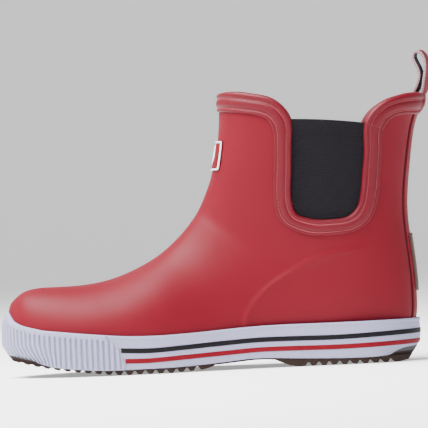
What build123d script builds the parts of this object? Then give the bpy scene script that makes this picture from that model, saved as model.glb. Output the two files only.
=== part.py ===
from build123d import *
import math
import os

# Right-foot ankle rain boot in moulded rubber. Millimetres, toe towards -X, heel
# towards +X, +Z up, ground at Z = 0. The medial side faces -Y.

# Driving dimensions
middle_shift = -0.9  # moves the finished boot so that its box is centred on X = 0
shell_wall = 2.2  # rubber of the upper
lining_wall = 1.2  # textile lining
puff_wall = 1.0  # toe puff and heel counter, pocketed in the back of the rubber
binding_wall = 1.3  # collar tape outside the upper
rear_binding_wall = 1.6  # the rear tape laps over the front one
facing_wall = 0.9  # facing tape inside the collar and the notches
strip_wall = 0.8  # back strip over the heel
reflector_wall = 1.6  # heel reflector on the back strip
foxing_wall = 2.2  # rubber wall around the sole
bumper_wall = 1.5  # ribbed toe bumper on the foxing
stripe_proud = 0.35  # coloured lines stand this far out of the foxing
stripe_depth = 0.7  # and are let this far into it
plate_wall = 2.0  # outsole above its tread
foam_wall = 3.4  # footbed foam
cover_wall = 1.0  # footbed cloth
footbed_gap = 2.6  # between the footbed and the upper lining
footbed_rise = 0.15  # the loose footbed lies this far over the board
strap_wall = 1.4  # pull loop webbing
strap_width = 10.0
tread_pitch = 6.4
tread_gap = 4.4  # width of a groove between two tread teeth, at the ground
tread_root = 1.0  # and at its root
tread_depth = 2.2
rib_pitch = 3.4  # ribs of the toe bumper
rib_depth = 0.5
loop_axis_x = 133.7  # the pull loop bends about this line, which runs along Y
loop_axis_z = 168.8
loop_clear = 4.3  # the free part of the loop starts at this radius
root_radius = 4.0  # and its sewn root ends at this one
gusset_back = 2.6  # depth of the elastic's back under the surface of the upper
badge_z = 132.3  # middle of the badge
badge_width = 27.0
badge_height = 18.0
badge_rim = 1.3  # width of the plate seen around the field
drop_size = 4.4  # radius of the raindrop's bowl
strip_half = 12.0  # half-width of the back strip
strip_top = 153.3
reflector_half = 8.0
reflector_foot = 43.0
reflector_top = 79.0
pad_half = 7.0  # half-width of the pads the pull loop is sewn through
collar_front_top = 171.2  # height of the collar at the instep
collar_rear_top = 165.8  # and at the heel
points_round = 20  # points on one section of the upper
far = 90.0  # half-width of a cutting body, well past the boot

# The upper is a skin over sections. Each section is a plane through a point on the
# front line (instep) and a point on the sole or heel line:
# front x, front z, back x, back z, medial half-width, lateral half-width,
# height of the widest place as a share, front exponent, back exponent, lead.
# Lead says how far the section faces the toe: a thinner skin moves along X there.
sections = [
    (-131.3, 37.5, -131.3, 19.0, 12.0, 2.0, 0.50, 2.0, 2.0, 0.98),
    (-130.0, 44.2, -130.0, 18.0, 15.5, 6.0, 0.40, 2.1, 2.2, 0.88),
    (-127.0, 48.6, -127.0, 17.0, 21.0, 13.0, 0.34, 2.1, 2.4, 0.72),
    (-122.0, 52.4, -122.0, 15.8, 27.5, 20.0, 0.30, 2.2, 2.7, 0.55),
    (-114.0, 54.8, -114.0, 14.0, 33.5, 28.0, 0.28, 2.2, 3.0, 0.35),
    (-102.0, 55.3, -102.0, 12.0, 38.5, 34.5, 0.27, 2.2, 3.2, 0.18),
    (-86.0, 55.6, -86.0, 10.8, 43.0, 40.5, 0.26, 2.2, 3.4, 0.06),
    (-70.0, 57.7, -70.0, 10.2, 45.2, 44.0, 0.26, 2.15, 3.4, 0.0),
    (-56.6, 61.7, -52.0, 10.1, 45.8, 45.6, 0.26, 2.1, 3.4, 0.0),
    (-41.3, 68.8, -28.0, 10.4, 43.0, 45.0, 0.27, 2.1, 3.3, 0.0),
    (-29.0, 77.3, 5.0, 11.6, 35.5, 39.5, 0.32, 2.1, 3.1, 0.0),
    (-19.0, 86.8, 45.0, 12.1, 31.0, 33.3, 0.36, 2.1, 2.9, 0.0),
    (-11.9, 95.6, 88.0, 10.6, 30.8, 31.0, 0.38, 2.1, 2.8, 0.0),
    (-9.0, 100.3, 111.0, 14.0, 31.0, 31.0, 0.40, 2.1, 2.6, 0.0),
    (-6.5, 105.3, 120.5, 21.5, 31.3, 31.3, 0.42, 2.15, 2.45, 0.0),
    (-4.0, 111.0, 123.7, 37.0, 31.8, 31.8, 0.45, 2.15, 2.35, 0.0),
    (-1.5, 117.3, 123.3, 54.0, 32.5, 32.5, 0.47, 2.2, 2.3, 0.0),
    (0.5, 124.3, 121.6, 74.0, 33.3, 33.3, 0.49, 2.2, 2.25, 0.0),
    (2.5, 131.8, 120.3, 94.0, 34.3, 34.3, 0.50, 2.2, 2.25, 0.0),
    (4.0, 139.5, 121.6, 112.0, 35.3, 35.3, 0.50, 2.2, 2.2, 0.0),
    (5.2, 149.0, 124.0, 130.0, 36.4, 36.4, 0.50, 2.2, 2.2, 0.0),
    (5.9, 159.0, 127.9, 149.0, 37.4, 37.4, 0.50, 2.2, 2.2, 0.0),
    (6.2, 166.5, 131.5, 158.5, 37.9, 37.9, 0.50, 2.2, 2.2, 0.0),
    (6.4, 177.0, 135.8, 173.0, 38.2, 38.2, 0.50, 2.2, 2.2, 0.0),
]

# Sole outline in plan, outside the foxing: x, medial half-width, lateral half-width.
toe_tip = (-134.3, -5.0)
heel_end = (125.4, 0.0)
sole_plan = [
    (-133.2, 10.7, 1.3),
    (-131.0, 15.8, 7.3),
    (-127.5, 21.5, 14.0),
    (-122.5, 27.2, 20.5),
    (-115.0, 33.2, 28.0),
    (-105.0, 38.2, 34.2),
    (-92.0, 42.6, 39.9),
    (-77.0, 46.0, 44.3),
    (-60.0, 47.5, 47.4),
    (-46.0, 47.0, 47.6),
    (-28.0, 44.3, 46.2),
    (-8.0, 39.0, 43.0),
    (12.0, 35.2, 38.8),
    (32.0, 33.3, 35.7),
    (52.0, 32.8, 34.0),
    (72.0, 33.0, 33.4),
    (90.0, 32.8, 32.8),
    (104.0, 29.3, 29.3),
    (114.5, 22.0, 22.0),
    (121.5, 12.5, 12.5),
]

# Side outlines as x, z.
foxing_top = [
    (-137.0, 52.0),
    (-131.4, 43.3),
    (-127.6, 35.6),
    (-121.0, 32.2),
    (-109.0, 29.2),
    (-84.0, 26.3),
    (-54.0, 23.6),
    (-24.0, 23.6),
    (25.0, 26.0),
    (74.0, 26.1),
    (150.0, 26.3),
]
foxing_foot = [
    (-137.0, 13.6),
    (-123.7, 10.3),
    (-111.0, 7.6),
    (-97.5, 5.6),
    (-84.8, 4.2),
    (-70.0, 3.2),
    (-40.0, 3.1),
    (-22.0, 3.4),
    (0.0, 4.6),
    (22.0, 6.1),
    (48.0, 5.0),
    (72.0, 4.0),
    (97.0, 3.8),
    (130.0, 4.8),
]
tread_toe = [
    (-137.0, 13.2),
    (-122.0, 9.1),
    (-113.0, 7.0),
    (-105.0, 5.4),
    (-97.5, 4.1),
    (-86.5, 2.6),
    (-75.6, 1.4),
    (-66.0, 0.4),
    (-56.0, 0.0),
]
tread_waist = [(-28.0, 0.0), (-18.0, 0.6), (-6.8, 2.0), (-3.7, 3.2)]
waist_foot = [(-3.7, 3.5), (10.0, 4.4), (22.0, 5.2), (33.5, 4.8)]
heel_foot = [(42.5, 1.0), (47.5, 0.0), (110.5, 0.0), (130.0, 3.4)]
dark_line = [
    (-80.0, 17.6),
    (-61.0, 16.6),
    (-43.0, 15.8),
    (-24.0, 16.6),
    (0.0, 17.9),
    (25.0, 19.0),
    (74.0, 18.6),
    (112.0, 19.6),
    (140.0, 20.2),
]
red_line = [
    (-80.0, 10.8),
    (-56.0, 9.9),
    (-43.0, 9.7),
    (-25.0, 10.5),
    (0.0, 11.7),
    (25.0, 12.9),
    (74.0, 12.5),
    (112.0, 13.2),
    (140.0, 13.6),
]
toe_nose = [
    (-122.0, -12.0),
    (-125.5, 2.0),
    (-128.2, 10.3),
    (-132.6, 14.6),
    (-136.6, 23.0),
    (-135.3, 34.0),
    (-130.0, 46.0),
    (-125.0, 54.0),
]
heel_back = [
    (124.6, 54.0),
    (125.9, 30.0),
    (125.8, 20.0),
    (124.6, 11.5),
    (120.6, 6.0),
    (117.0, 1.5),
    (114.0, -12.0),
]
pad_outside = [
    (129.5, 153.4),
    (133.0, 154.9),
    (134.6, 157.8),
    (135.6, 161.5),
    (135.9, 165.0),
    (135.3, 167.1),
    (129.5, 167.1),
]
pad_inside = [
    (131.5, 153.4),
    (125.3, 153.4),
    (124.9, 155.5),
    (126.0, 160.0),
    (127.4, 164.5),
    (128.3, 167.1),
    (131.5, 167.1),
]
bumper_end = [
    (-68.6, 60.0),
    (-68.6, 22.8),
    (-64.8, 20.1),
    (-61.4, 16.4),
    (-59.2, 11.0),
    (-57.7, 6.2),
    (-57.2, -10.0),
]
feather_line = [
    (-137.0, 25.0),
    (-118.0, 19.0),
    (-100.0, 16.5),
    (-70.0, 15.5),
    (-30.0, 15.8),
    (5.0, 17.0),
    (45.0, 17.0),
    (85.0, 16.5),
    (105.0, 18.0),
    (130.0, 22.0),
]
collar_front = [
    (12.0, 171.2),
    (19.4, 171.1),
    (26.8, 169.6),
    (34.1, 168.0),
    (41.3, 164.4),
    (47.0, 158.8),
    (50.3, 152.9),
]
gusset_edge = [
    (50.3, 152.9),
    (50.0, 141.0),
    (49.0, 122.0),
    (48.2, 102.0),
    (50.4, 95.0),
    (55.8, 91.6),
    (64.8, 89.8),
    (74.2, 89.9),
    (84.0, 92.0),
    (88.6, 96.6),
    (91.0, 103.8),
    (93.0, 119.0),
    (94.5, 134.0),
    (95.2, 148.2),
]
collar_rear = [
    (95.2, 148.2),
    (97.8, 152.4),
    (101.6, 156.9),
    (108.6, 161.5),
    (115.6, 163.8),
    (122.8, 165.3),
    (131.0, 165.8),
]
binding_foot = [
    (6.0, 159.6),
    (18.7, 157.7),
    (27.8, 156.0),
    (34.2, 153.9),
    (38.0, 149.5),
    (39.1, 139.6),
    (38.2, 121.0),
    (37.3, 103.0),
    (38.4, 94.5),
    (42.4, 88.2),
    (49.2, 83.8),
    (57.6, 80.9),
    (67.0, 79.8),
    (80.0, 80.8),
    (90.2, 83.6),
    (97.2, 89.8),
    (101.4, 100.3),
    (103.0, 113.0),
    (104.6, 128.0),
    (105.9, 141.0),
    (108.6, 147.2),
    (112.8, 151.2),
    (118.4, 152.9),
    (130.0, 152.9),
]
counter_edge = [
    (14.0, 12.0),
    (14.9, 35.0),
    (20.8, 45.4),
    (27.2, 51.6),
    (35.4, 57.9),
    (44.9, 63.5),
    (57.3, 69.0),
    (72.6, 71.0),
    (150.0, 71.5),
]
insole_line = [
    (-137.0, 24.6),
    (-118.0, 19.6),
    (-100.0, 16.9),
    (-84.0, 16.0),
    (-60.0, 15.7),
    (-35.0, 15.8),
    (-5.0, 16.3),
    (30.0, 17.3),
    (60.0, 17.1),
    (90.0, 16.3),
    (130.0, 16.6),
]

# Middle line of the pull loop's webbing as x, z, from its sewn end inside the collar,
# over the top, to its sewn end outside.
strap_line = [
    (126.8, 156.8),
    (127.8, 160.0),
    (128.6, 163.0),
    (129.6, 166.8),
    (131.2, 169.8),
    (132.6, 173.2),
    (133.3, 177.4),
    (132.2, 181.9),
    (130.5, 185.7),
    (129.5, 189.2),
    (130.4, 191.4),
    (132.6, 192.2),
    (134.8, 190.9),
    (136.2, 188.6),
    (136.9, 185.0),
    (136.7, 180.2),
    (136.2, 174.0),
    (135.7, 170.6),
    (134.9, 167.6),
    (134.1, 164.8),
    (133.2, 161.0),
    (131.9, 156.4),
]


def section_wire(row, inset):
    """One closed section of the upper, moved inwards by inset."""
    front_x, front_z, back_x, back_z, medial, lateral, widest, n_front, n_back, lead = row
    along_x = front_x - back_x
    along_z = front_z - back_z
    length = math.hypot(along_x, along_z)
    along_x /= length
    along_z /= length
    in_plane = inset * math.sqrt(1 - lead * lead)
    base_x = back_x + along_x * in_plane + inset * lead
    base_z = back_z + along_z * in_plane
    length -= 2 * in_plane
    half_width = (medial + lateral) / 2 - in_plane
    middle_y = (lateral - medial) / 2
    points = []
    for i in range(points_round + 1):
        angle = 2 * math.pi * i / points_round - math.pi / 2
        across_y = math.cos(angle)
        up = math.sin(angle)
        power = 2 / (n_front if up > 0 else n_back)
        reach = length * ((1 - widest) if up > 0 else widest)
        y = middle_y + half_width * math.copysign(abs(across_y) ** power, across_y)
        s = length * widest + reach * math.copysign(abs(up) ** power, up)
        points.append(Vector(base_x + along_x * s, y, base_z + along_z * s))
    points[-1] = points[0]
    up_way = Vector(along_x, 0, along_z)
    side_way = Vector(0, 1, 0)
    ways = [side_way, up_way, -side_way, -up_way, side_way]
    quarter = points_round // 4
    steps = [i / quarter for i in range(quarter + 1)]
    edges = []
    for q in range(4):
        part = points[q * quarter : (q + 1) * quarter + 1]
        edges.append(Edge.make_spline(part, tangents=[ways[q], ways[q + 1]], parameters=steps))
    return Wire(edges)


def skin(inset):
    """The solid inside the upper's surface moved inwards by inset."""
    return Solid.make_loft([section_wire(row, inset) for row in sections])


def line_up(points):
    """A smooth curve through points."""
    return Edge.make_spline([Vector(x, y, 0) for x, y in points])


def closed_face(start, corners):
    """A flat face bounded by the edges in start and by straight lines through corners."""
    first = start[0].position_at(0)
    last = start[-1].position_at(1)
    stops = [last] + [Vector(x, y, 0) for x, y in corners] + [first]
    lines = [Edge.make_line(a, b) for a, b in zip(stops, stops[1:])]
    return Face(Wire(list(start) + lines))


def across(face):
    """Turns a side outline (x, z drawn as x, y) into a body through the whole width."""
    return Pos(0, far, 0) * Rot(90, 0, 0) * extrude(face, 2 * far, dir=(0, 0, 1))


def at(points, x):
    """Straight-line reading of a list of points at x; every column after the first."""
    for low, high in zip(points, points[1:]):
        if x <= high[0]:
            share = (x - low[0]) / (high[0] - low[0])
            return [a + (b - a) * share for a, b in zip(low[1:], high[1:])]
    return list(points[-1][1:])


def sole_face(grow):
    """The sole outline in plan, moved outwards by grow."""
    medial = [(x, -m) for x, m, _ in sole_plan]
    lateral = [(x, l) for x, _, l in reversed(sole_plan)]
    plain = [toe_tip] + medial + [heel_end] + lateral
    count = len(plain)
    ring = []
    for i in range(count):
        before = plain[i - 1]
        after = plain[(i + 1) % count]
        run_x = after[0] - before[0]
        run_y = after[1] - before[1]
        length = math.hypot(run_x, run_y)
        ring.append(Vector(plain[i][0] + grow * run_y / length, plain[i][1] - grow * run_x / length))
    return Face(Wire([Edge.make_spline(ring, periodic=True)]))


def wall(grow):
    """The upright body inside the sole's side wall, moved outwards by grow."""
    return Pos(0, 0, -10) * extrude(sole_face(grow), 80, dir=(0, 0, 1))


def wall_ring(outward, inward):
    """An upright ring along the sole's side wall, between two outlines."""
    face = Face(sole_face(outward).outer_wire(), [sole_face(inward).outer_wire()])
    return Pos(0, 0, -10) * extrude(face, 80, dir=(0, 0, 1))


def below(points, raised=0.0):
    """Everything under a side curve that is moved up by raised."""
    moved = [(x, z + raised) for x, z in points]
    ends = [(moved[-1][0], -20.0), (moved[0][0], -20.0)]
    return across(closed_face([line_up(moved)], ends))


def slab(x0, x1, y0, y1, z0, z1):
    """A plain box between two corners."""
    middle = Pos((x0 + x1) / 2, (y0 + y1) / 2, (z0 + z1) / 2)
    return middle * Box(x1 - x0, y1 - y0, z1 - z0)


def flat(corners):
    """A face with straight sides in side view."""
    return Face(Wire.make_polygon([Vector(x, y, 0) for x, y in corners]))


def mouth_face():
    """The open space above the collar and inside both gusset notches, in side view."""
    start = Edge.make_line(Vector(-60, collar_front_top), Vector(*collar_front[0]))
    stop = Edge.make_line(Vector(*collar_rear[-1]), Vector(190, collar_rear_top))
    edges = [start, line_up(collar_front), line_up(gusset_edge), line_up(collar_rear), stop]
    return closed_face(edges, [(190, 230), (-60, 230)])


def binding_face():
    """Everything above the lower edge of the collar tapes, in side view."""
    start = Edge.make_line(Vector(-60, binding_foot[0][1]), Vector(*binding_foot[0]))
    stop = Edge.make_line(Vector(*binding_foot[-1]), Vector(190, binding_foot[-1][1]))
    return closed_face([start, line_up(binding_foot), stop], [(190, 230), (-60, 230)])


def main_piece(shape):
    """The largest solid of a cut, without any crumbs."""
    return max(shape.solids(), key=lambda solid: solid.volume)


def rear_side():
    """The part of the collar behind the lap of the two tapes."""
    lap = [(92.0, 240.0), (92.0, 150.2), (104.8, 145.0), (190.0, 120.0), (190.0, 240.0)]
    return across(flat(lap))


def elastic_side():
    """The elastic in side view: it laps under the upper as far as the tapes reach."""
    top = Edge.make_three_point_arc(Vector(32, 154.0), Vector(72, 149.6), Vector(112, 146.6))
    return across(binding_face()) & across(closed_face([top], [(112, 70), (32, 70)]))


def toe_side():
    """Everything in front of the bumper's slanted ends, in side view."""
    return across(flat(bumper_end + [(-170, -10), (-170, 60)]))


def silhouette():
    """Side view of the sole: a rounded toe, and a heel that is cut under."""
    nose = Edge.make_spline([Vector(x, z, 0) for x, z in toe_nose])
    heel = Edge.make_spline([Vector(x, z, 0) for x, z in heel_back])
    roof = Edge.make_line(nose.position_at(1), heel.position_at(0))
    floor = Edge.make_line(heel.position_at(1), nose.position_at(0))
    return across(Face(Wire([nose, roof, heel, floor])))


def rib_grooves():
    """Upright grooves around the toe, between the bumper's ribs."""
    outline = sole_face(bumper_wall).outer_wire()
    pitches = int(outline.length / rib_pitch)
    grooves = []
    for i in range(pitches):
        share = (i + 0.5) / pitches
        place = outline.position_at(share)
        if place.X > -64:
            continue
        top = at(foxing_top, place.X)[0] - 4.2
        run = outline.tangent_at(share)
        turn = math.degrees(math.atan2(run.Y, run.X))
        spot = Pos(place.X, place.Y, top / 2) * Rot(0, 0, turn)
        grooves.append(spot * Box(1.2, 2 * rib_depth, top))
    return grooves


def ribbon(start, stop):
    """The pull loop's webbing between two shares of its middle line."""
    line = Edge.make_spline([Vector(x, z, 0) for x, z in strap_line])
    steps = 60
    left = []
    right = []
    for i in range(steps + 1):
        share = start + (stop - start) * i / steps
        place = line.position_at(share)
        run = line.tangent_at(share)
        side = Vector(-run.Y, run.X, 0) * (strap_wall / 2)
        left.append(place + side)
        right.append(place - side)
    edges = [
        Edge.make_spline(left),
        Edge.make_line(left[-1], right[-1]),
        Edge.make_spline(right[::-1]),
        Edge.make_line(right[0], left[0]),
    ]
    body = extrude(Face(Wire(edges)), strap_width, dir=(0, 0, 1))
    return Pos(0, strap_width / 2, 0) * Rot(90, 0, 0) * body


def plug(width, height, corner, z):
    """A bar along X with a rounded outline, through the front of the shaft."""
    outline = Plane.YZ.offset(-30) * Pos(0, z) * RectangleRounded(width, height, corner)
    return extrude(outline, 60, dir=(1, 0, 0))


def drop_plug(size, z):
    """A bar along X with a raindrop outline."""
    tip = Vector(0, 1.3 * size, 0)
    left = Vector(-0.62 * size, -0.35 * size, 0)
    right = Vector(0.62 * size, -0.35 * size, 0)
    bowl = Edge.make_three_point_arc(left, Vector(0, -size, 0), right)
    face = Face(Wire([bowl, Edge.make_line(right, tip), Edge.make_line(tip, left)]))
    return extrude(Plane.YZ.offset(-30) * Pos(0, z) * face, 60, dir=(1, 0, 0))


def tread_grooves():
    """The gaps between the tread teeth, ready to cut from the outsole."""
    zones = ((-123.3, -10.0, tread_toe + tread_waist), (54.15, 107.0, heel_foot))
    grooves = []
    for first, last, floor_line in zones:
        count = int((last - first) / tread_pitch)
        for i in range(count + 1):
            x = first + i * tread_pitch
            ground = at(floor_line, x)[0]
            depth = min(tread_depth, 0.8 * (at(foxing_foot, x)[0] - ground))
            corners = [
                (x - tread_gap / 2, ground - 5.0),
                (x - tread_gap / 2, ground - 0.2),
                (x - tread_root / 2, ground + depth),
                (x + tread_root / 2, ground + depth),
                (x + tread_gap / 2, ground - 0.2),
                (x + tread_gap / 2, ground - 5.0),
            ]
            grooves.append(across(flat(corners)))
    return grooves


def outsole_body():
    """The outsole under the foxing: a plate, tread bars, a thin waist and a heel block."""
    floor_edges = [
        line_up(tread_toe),
        Edge.make_line(Vector(*tread_toe[-1]), Vector(*tread_waist[0])),
        line_up(tread_waist),
        Edge.make_line(Vector(*tread_waist[-1]), Vector(*waist_foot[0])),
        line_up(waist_foot),
        Edge.make_line(Vector(*waist_foot[-1]), Vector(*heel_foot[0])),
    ]
    for start, stop in zip(heel_foot, heel_foot[1:]):
        floor_edges.append(Edge.make_line(Vector(*start), Vector(*stop)))
    over_ground = across(closed_face(floor_edges, [(130.0, 70.0), (-137.0, 70.0)]))
    plate = wall(-foxing_wall) & below(foxing_foot, plate_wall)
    tread = wall(-0.8) & below(foxing_foot)
    body = (plate + tread) & over_ground & silhouette()
    return body - tread_grooves()


def build():
    """Every piece of the boot by name."""
    outer = skin(0)
    puff_front = skin(shell_wall - puff_wall)
    shell_back = skin(shell_wall)
    elastic_back = skin(gusset_back)
    lining_face = skin(shell_wall + lining_wall)
    over_front = skin(-binding_wall)
    over_rear = skin(-rear_binding_wall)
    over_strip = skin(-strip_wall)
    over_reflector = skin(-strip_wall - reflector_wall)
    under_binding = skin(shell_wall + lining_wall + facing_wall)
    footbed_skin = skin(shell_wall + lining_wall + footbed_gap)
    mouth = across(mouth_face())
    tape = across(binding_face()) - mouth
    front_zone = tape - rear_side()
    rear_zone = tape & rear_side()
    parts = {}

    elastic = (puff_front - elastic_back) & elastic_side()
    parts["gusset_medial"] = main_piece(elastic & slab(0, 140, -60, 0, 60, 170))
    parts["gusset_lateral"] = main_piece(elastic & slab(0, 140, 0, 60, 60, 170))

    stiff = puff_front - shell_back
    counter = stiff & across(closed_face([line_up(counter_edge)], [(150, 16), (14.2, 16)]))
    puff = stiff & slab(-140, -88, -60, 60, 24, 70)
    parts["heel_counter"] = counter
    parts["toe_puff"] = puff
    parts["upper_shell"] = (outer - shell_back) - mouth - elastic - counter - puff
    parts["lining"] = (shell_back - lining_face) - mouth - elastic

    root_zone = across(Pos(loop_axis_x, loop_axis_z) * Circle(root_radius).face())
    free_zone = across(Pos(loop_axis_x, loop_axis_z) * Circle(loop_clear).face())
    above_axis = slab(100, 160, -20, 20, loop_axis_z, 220)
    beyond_root = above_axis - root_zone
    collar = (outer - lining_face) - mouth
    inner_end = main_piece(ribbon(0.0, 0.3) - beyond_root - collar)
    outer_end = main_piece(ribbon(0.7, 1.0) - beyond_root - collar)
    parts["pull_loop_end_inner"] = inner_end
    parts["pull_loop_end_outer"] = outer_end
    parts["pull_loop"] = main_piece((ribbon(0.0, 1.0) & above_axis) - free_zone)

    pad_zone = slab(100, 160, -pad_half, pad_half, 150, 170)
    outer_pad = across(flat(pad_outside)) & pad_zone
    inner_pad = across(flat(pad_inside)) & pad_zone
    rear_tape = ((over_rear - outer) & rear_zone) + ((outer_pad - outer) - mouth)
    facing = ((lining_face - under_binding) & tape) + ((inner_pad & lining_face) - mouth)
    rear_tape = main_piece(rear_tape - outer_end)
    parts["binding_front"] = (over_front - outer) & front_zone
    parts["binding_rear"] = rear_tape
    parts["collar_facing"] = main_piece(facing - inner_end)

    strip_zone = slab(100, 150, -strip_half, strip_half, foxing_top[-1][1], strip_top)
    reflector_zone = slab(100, 150, -reflector_half, reflector_half, reflector_foot, reflector_top)
    parts["heel_strip"] = ((over_strip - outer) & strip_zone) - rear_tape
    parts["heel_reflector"] = (over_reflector - over_strip) & reflector_zone

    badge = plug(badge_width, badge_height, 1.2, badge_z)
    field = plug(badge_width - 2 * badge_rim, badge_height - 2 * badge_rim, 0.6, badge_z)
    drop = drop_plug(drop_size, badge_z)
    front = slab(-20, 40, -20, 20, badge_z - 20, badge_z + 20)
    parts["badge_emblem"] = (over_rear - over_strip) & drop & front
    parts["badge_field"] = ((over_front - over_strip) & field & front) - drop
    plate = (over_front - outer) & badge & front
    parts["badge_plate"] = plate - parts["badge_field"] - parts["badge_emblem"]

    outline = silhouette()
    top = below(foxing_top)
    foot = below(foxing_foot)
    toe = toe_side()
    line_ring = wall_ring(stripe_proud, -stripe_depth)
    dark = (line_ring & below(dark_line)) - below(dark_line, -3.0)
    red = (line_ring & below(red_line)) - below(red_line, -2.9)
    parts["stripe_dark"] = (dark - toe) & outline
    parts["stripe_red"] = (red - toe) & outline
    core = wall(-foxing_wall) & below(feather_line)
    side = ((wall(0) & top) - foot) & outline
    parts["foxing"] = side - outer - core - parts["stripe_dark"] - parts["stripe_red"]
    rim = (((wall_ring(bumper_wall, 0) & toe) & top) - foot) & outline
    parts["toe_bumper"] = rim - rib_grooves()
    outsole = outsole_body()
    parts["outsole"] = outsole
    parts["midsole_filler"] = main_piece((((core - foot) & outline) - outer) - outsole)

    parts["insole_board"] = lining_face & below(insole_line)
    foam_top = below(insole_line, footbed_rise + foam_wall)
    foam_foot = below(insole_line, footbed_rise)
    parts["footbed_foam"] = main_piece((footbed_skin & foam_top) - foam_foot)
    cover_top = below(insole_line, footbed_rise + foam_wall + cover_wall)
    parts["footbed_cover"] = (footbed_skin & cover_top) - foam_top
    return parts


def main():
    os.makedirs("parts", exist_ok=True)
    for name, shape in build().items():
        whole = Pos(middle_shift, 0, 0) * Compound(shape.solids())
        export_step(whole, "parts/" + name + ".step")


main()
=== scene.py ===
import math
import bmesh
import bpy
import numpy as np
from mathutils import Vector, Matrix
from mathutils.bvhtree import BVHTree
from mathutils.interpolate import poly_3d_calc


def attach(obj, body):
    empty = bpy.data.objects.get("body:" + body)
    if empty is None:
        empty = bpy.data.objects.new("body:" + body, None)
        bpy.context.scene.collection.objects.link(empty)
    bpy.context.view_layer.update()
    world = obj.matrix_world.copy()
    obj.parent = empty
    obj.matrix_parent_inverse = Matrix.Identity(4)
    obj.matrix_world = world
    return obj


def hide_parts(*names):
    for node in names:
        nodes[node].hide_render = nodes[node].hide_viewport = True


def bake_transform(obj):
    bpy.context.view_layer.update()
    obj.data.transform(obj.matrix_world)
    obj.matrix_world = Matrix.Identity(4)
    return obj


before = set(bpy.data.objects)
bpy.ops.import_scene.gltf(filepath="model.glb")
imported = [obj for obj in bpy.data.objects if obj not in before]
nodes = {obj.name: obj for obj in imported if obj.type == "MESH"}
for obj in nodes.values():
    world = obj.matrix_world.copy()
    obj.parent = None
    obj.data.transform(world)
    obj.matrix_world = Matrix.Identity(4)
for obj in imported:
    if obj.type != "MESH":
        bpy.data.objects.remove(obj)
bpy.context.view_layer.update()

# Right-foot rain boot. Lengths here are millimetres in the frame of the CAD before its
# centring shift; mesh() moves and scales them to the row frame.
MM = 0.001
SHIFT = -0.9

# front x, front z, back x, back z, medial, lateral, widest, front power, back power, lead
SECTIONS = [
    (-131.3, 37.5, -131.3, 19.0, 12.0, 2.0, 0.50, 2.0, 2.0, 0.98),
    (-130.0, 44.2, -130.0, 18.0, 15.5, 6.0, 0.40, 2.1, 2.2, 0.88),
    (-127.0, 48.6, -127.0, 17.0, 21.0, 13.0, 0.34, 2.1, 2.4, 0.72),
    (-122.0, 52.4, -122.0, 15.8, 27.5, 20.0, 0.30, 2.2, 2.7, 0.55),
    (-114.0, 54.8, -114.0, 14.0, 33.5, 28.0, 0.28, 2.2, 3.0, 0.35),
    (-102.0, 55.3, -102.0, 12.0, 38.5, 34.5, 0.27, 2.2, 3.2, 0.18),
    (-86.0, 55.6, -86.0, 10.8, 43.0, 40.5, 0.26, 2.2, 3.4, 0.06),
    (-70.0, 57.7, -70.0, 10.2, 45.2, 44.0, 0.26, 2.15, 3.4, 0.0),
    (-56.6, 61.7, -52.0, 10.1, 45.8, 45.6, 0.26, 2.1, 3.4, 0.0),
    (-41.3, 68.8, -28.0, 10.4, 43.0, 45.0, 0.27, 2.1, 3.3, 0.0),
    (-29.0, 77.3, 5.0, 11.6, 35.5, 39.5, 0.32, 2.1, 3.1, 0.0),
    (-19.0, 86.8, 45.0, 12.1, 31.0, 33.3, 0.36, 2.1, 2.9, 0.0),
    (-11.9, 95.6, 88.0, 10.6, 30.8, 31.0, 0.38, 2.1, 2.8, 0.0),
    (-9.0, 100.3, 111.0, 14.0, 31.0, 31.0, 0.40, 2.1, 2.6, 0.0),
    (-6.5, 105.3, 120.5, 21.5, 31.3, 31.3, 0.42, 2.15, 2.45, 0.0),
    (-4.0, 111.0, 123.7, 37.0, 31.8, 31.8, 0.45, 2.15, 2.35, 0.0),
    (-1.5, 117.3, 123.3, 54.0, 32.5, 32.5, 0.47, 2.2, 2.3, 0.0),
    (0.5, 124.3, 121.6, 74.0, 33.3, 33.3, 0.49, 2.2, 2.25, 0.0),
    (2.5, 131.8, 120.3, 94.0, 34.3, 34.3, 0.50, 2.2, 2.25, 0.0),
    (4.0, 139.5, 121.6, 112.0, 35.3, 35.3, 0.50, 2.2, 2.2, 0.0),
    (5.2, 149.0, 124.0, 130.0, 36.4, 36.4, 0.50, 2.2, 2.2, 0.0),
    (5.9, 159.0, 127.9, 149.0, 37.4, 37.4, 0.50, 2.2, 2.2, 0.0),
    (6.2, 166.5, 131.5, 158.5, 37.9, 37.9, 0.50, 2.2, 2.2, 0.0),
    (6.4, 177.0, 135.8, 173.0, 38.2, 38.2, 0.50, 2.2, 2.2, 0.0),
]
TOE_TIP = (-134.3, -5.0)
HEEL_END = (125.4, 0.0)
SOLE_PLAN = [
    (-133.2, 10.7, 1.3), (-131.0, 15.8, 7.3), (-127.5, 21.5, 14.0), (-122.5, 27.2, 20.5),
    (-115.0, 33.2, 28.0), (-105.0, 38.2, 34.2), (-92.0, 42.6, 39.9), (-77.0, 46.0, 44.3),
    (-60.0, 47.5, 47.4), (-46.0, 47.0, 47.6), (-28.0, 44.3, 46.2), (-8.0, 39.0, 43.0),
    (12.0, 35.2, 38.8), (32.0, 33.3, 35.7), (52.0, 32.8, 34.0), (72.0, 33.0, 33.4),
    (90.0, 32.8, 32.8), (104.0, 29.3, 29.3), (114.5, 22.0, 22.0), (121.5, 12.5, 12.5),
]
COUNTER_EDGE = [
    (15.6, 20.0), (17.3, 31.5), (22.1, 39.1), (33.5, 50.2), (40.2, 54.3), (53.6, 62.2),
    (64.3, 67.0), (74.7, 69.1), (86.6, 70.5), (140.0, 71.5),
]


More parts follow.
